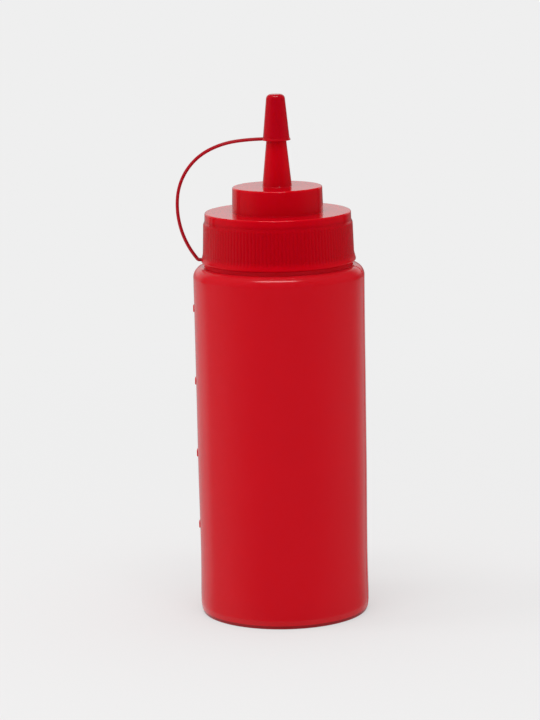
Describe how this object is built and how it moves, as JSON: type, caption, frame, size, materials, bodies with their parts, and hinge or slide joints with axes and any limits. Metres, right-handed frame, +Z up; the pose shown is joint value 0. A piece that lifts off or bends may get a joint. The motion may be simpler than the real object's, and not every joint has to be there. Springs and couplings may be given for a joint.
{
  "type": "sauce squeeze bottle",
  "caption": "Tall round squeeze bottle for sauce with a ribbed screw cap, a stepped top, a tapering nozzle and a tip cap held by a bent strap.",
  "frame": {"origin": "centre of the ring that the bottle stands on, on the bottle's axis", "axes": "+Z up along the bottle's axis, from the foot to the nozzle; the strap bends in the XZ plane on the -X side"},
  "size_m": [0.0743, 0.068, 0.2085],
  "materials": {
    "bottle_plastic": "glossy blow-moulded polyethylene, soft squeezable wall",
    "cap_plastic": "glossy injection-moulded polyethylene, slightly darker red",
    "tip_cap_plastic": "satin gloss injection-moulded polyethylene"
  },
  "bodies": {
    "root": {"bottle": "bottle_plastic", "screw_cap": "cap_plastic", "tip_cap": "tip_cap_plastic"}
  },
  "joints": []
}
